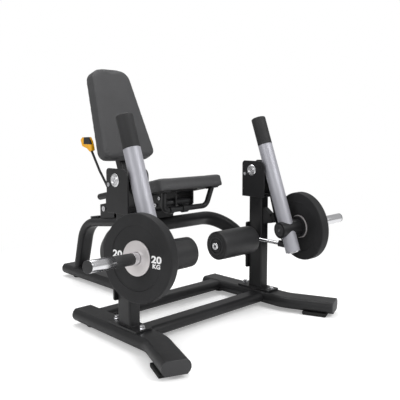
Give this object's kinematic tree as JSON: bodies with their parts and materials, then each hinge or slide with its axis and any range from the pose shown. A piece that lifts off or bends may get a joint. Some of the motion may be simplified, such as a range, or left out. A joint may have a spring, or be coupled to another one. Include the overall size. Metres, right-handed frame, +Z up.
{
  "type": "leg extension machine",
  "caption": "Plate-loaded leg extension bench: two independent swing levers with splayed weight horns and shin rollers, a tilted seat and a sliding tapered backrest.",
  "frame": {"origin": "middle of the machine's footprint, on the floor", "axes": "+X to the machine's right-hand lever seen from the front, -Y to the front where the user faces, +Z up"},
  "size_m": [1.6294, 1.7079, 1.2919],
  "materials": {
    "frame_paint": "satin near-black powder coat",
    "lever_silver": "silver metallic lacquer",
    "chrome": "polished plate",
    "grip_black": "matt smooth sleeve",
    "plate_black": "matt rubber over iron",
    "hub_steel": "brushed face",
    "pad_cover": "matt grained upholstery",
    "pad_board": "black painted plywood",
    "roller_cover": "smooth skinned foam",
    "moulding_black": "fine texture",
    "feet_rubber": "matt",
    "handle_yellow": "gloss moulded"
  },
  "bodies": {
    "frame": {"left_foot_beam": "frame_paint", "right_foot_beam": "frame_paint", "front_cross_tube": "frame_paint", "rear_cross_tube": "frame_paint", "rear_foot_beam": "frame_paint", "foot_end_caps": "moulding_black", "front_rubber_pads": "feet_rubber", "rear_rubber_feet": "feet_rubber", "left_upright": "frame_paint", "right_upright": "frame_paint", "left_head_bracket": "frame_paint", "right_head_bracket": "frame_paint", "pivot_shafts": "chrome", "pivot_caps": "chrome", "stop_brackets": "frame_paint", "stop_bumpers": "feet_rubber", "arch_tube": "frame_paint", "arch_flanges": "frame_paint", "spine_tube": "frame_paint", "spine_cover_strip": "moulding_black", "rail_bracket": "frame_paint", "guide_rail": "frame_paint", "seat_bracket": "frame_paint", "seat_board": "pad_board", "seat_pad": "pad_cover", "hand_bar": "frame_paint", "frame_bolts": "chrome"},
    "right_lever": {"right_lever_tube": "lever_silver", "right_grip_sleeve": "grip_black", "right_lever_web": "frame_paint", "right_knuckle": "frame_paint", "right_horn": "chrome", "right_horn_trim": "moulding_black", "right_roller_arm": "chrome", "right_roller_socket": "frame_paint", "right_roller_nut": "chrome"},
    "right_roller": {"right_roller_foam": "roller_cover", "right_roller_core": "moulding_black"},
    "right_weight_plate": {"right_plate_rubber": "plate_black", "right_plate_hub": "hub_steel"},
    "left_lever": {"left_lever_tube": "lever_silver", "left_grip_sleeve": "grip_black", "left_lever_web": "frame_paint", "left_knuckle": "frame_paint", "left_horn": "chrome", "left_horn_trim": "moulding_black", "left_roller_arm": "chrome", "left_roller_socket": "frame_paint", "left_roller_nut": "chrome"},
    "left_roller": {"left_roller_foam": "roller_cover", "left_roller_core": "moulding_black"},
    "left_weight_plate": {"left_plate_rubber": "plate_black", "left_plate_hub": "hub_steel"},
    "backrest": {"back_carriage": "frame_paint", "back_post": "frame_paint", "back_board": "pad_board", "back_pad": "pad_cover"},
    "release": {"release_lever": "frame_paint", "release_handle": "handle_yellow", "handle_insert": "moulding_black"}
  },
  "joints": [
    {"name": "right_lever_swing", "type": "hinge", "parent": "frame", "child": "right_lever", "pos_m": [0.435, -0.395, 0.73], "axis": [-1, 0, 0], "range_deg": [0, 95]},
    {"name": "right_roller_spin", "type": "hinge", "parent": "right_lever", "child": "right_roller", "pos_m": [0.218, -0.415, 0.363], "axis": [1, 0, 0], "continuous": true},
    {"name": "right_plate_slide", "type": "slide", "parent": "right_lever", "child": "right_weight_plate", "axis": [0.9782, -0.1955, 0.0698], "range_m": [0, 0.32]},
    {"name": "left_lever_swing", "type": "hinge", "parent": "frame", "child": "left_lever", "pos_m": [-0.435, -0.395, 0.73], "axis": [-1, 0, 0], "range_deg": [0, 95]},
    {"name": "left_roller_spin", "type": "hinge", "parent": "left_lever", "child": "left_roller", "pos_m": [-0.218, -0.415, 0.363], "axis": [1, 0, 0], "continuous": true},
    {"name": "left_plate_slide", "type": "slide", "parent": "left_lever", "child": "left_weight_plate", "axis": [-0.9782, -0.1955, 0.0698], "range_m": [0, 0.32]},
    {"name": "backrest_slide", "type": "slide", "parent": "frame", "child": "backrest", "axis": [0, 0.9781, -0.2079], "range_m": [-0.03, 0.08]},
    {"name": "release_pull", "type": "hinge", "parent": "backrest", "child": "release", "pos_m": [-0.1, 0.128, 0.608], "axis": [-1, 0, 0], "range_deg": [0, 12], "stiffness_Nm_per_rad": 4, "springref_deg": -20.05}
  ]
}
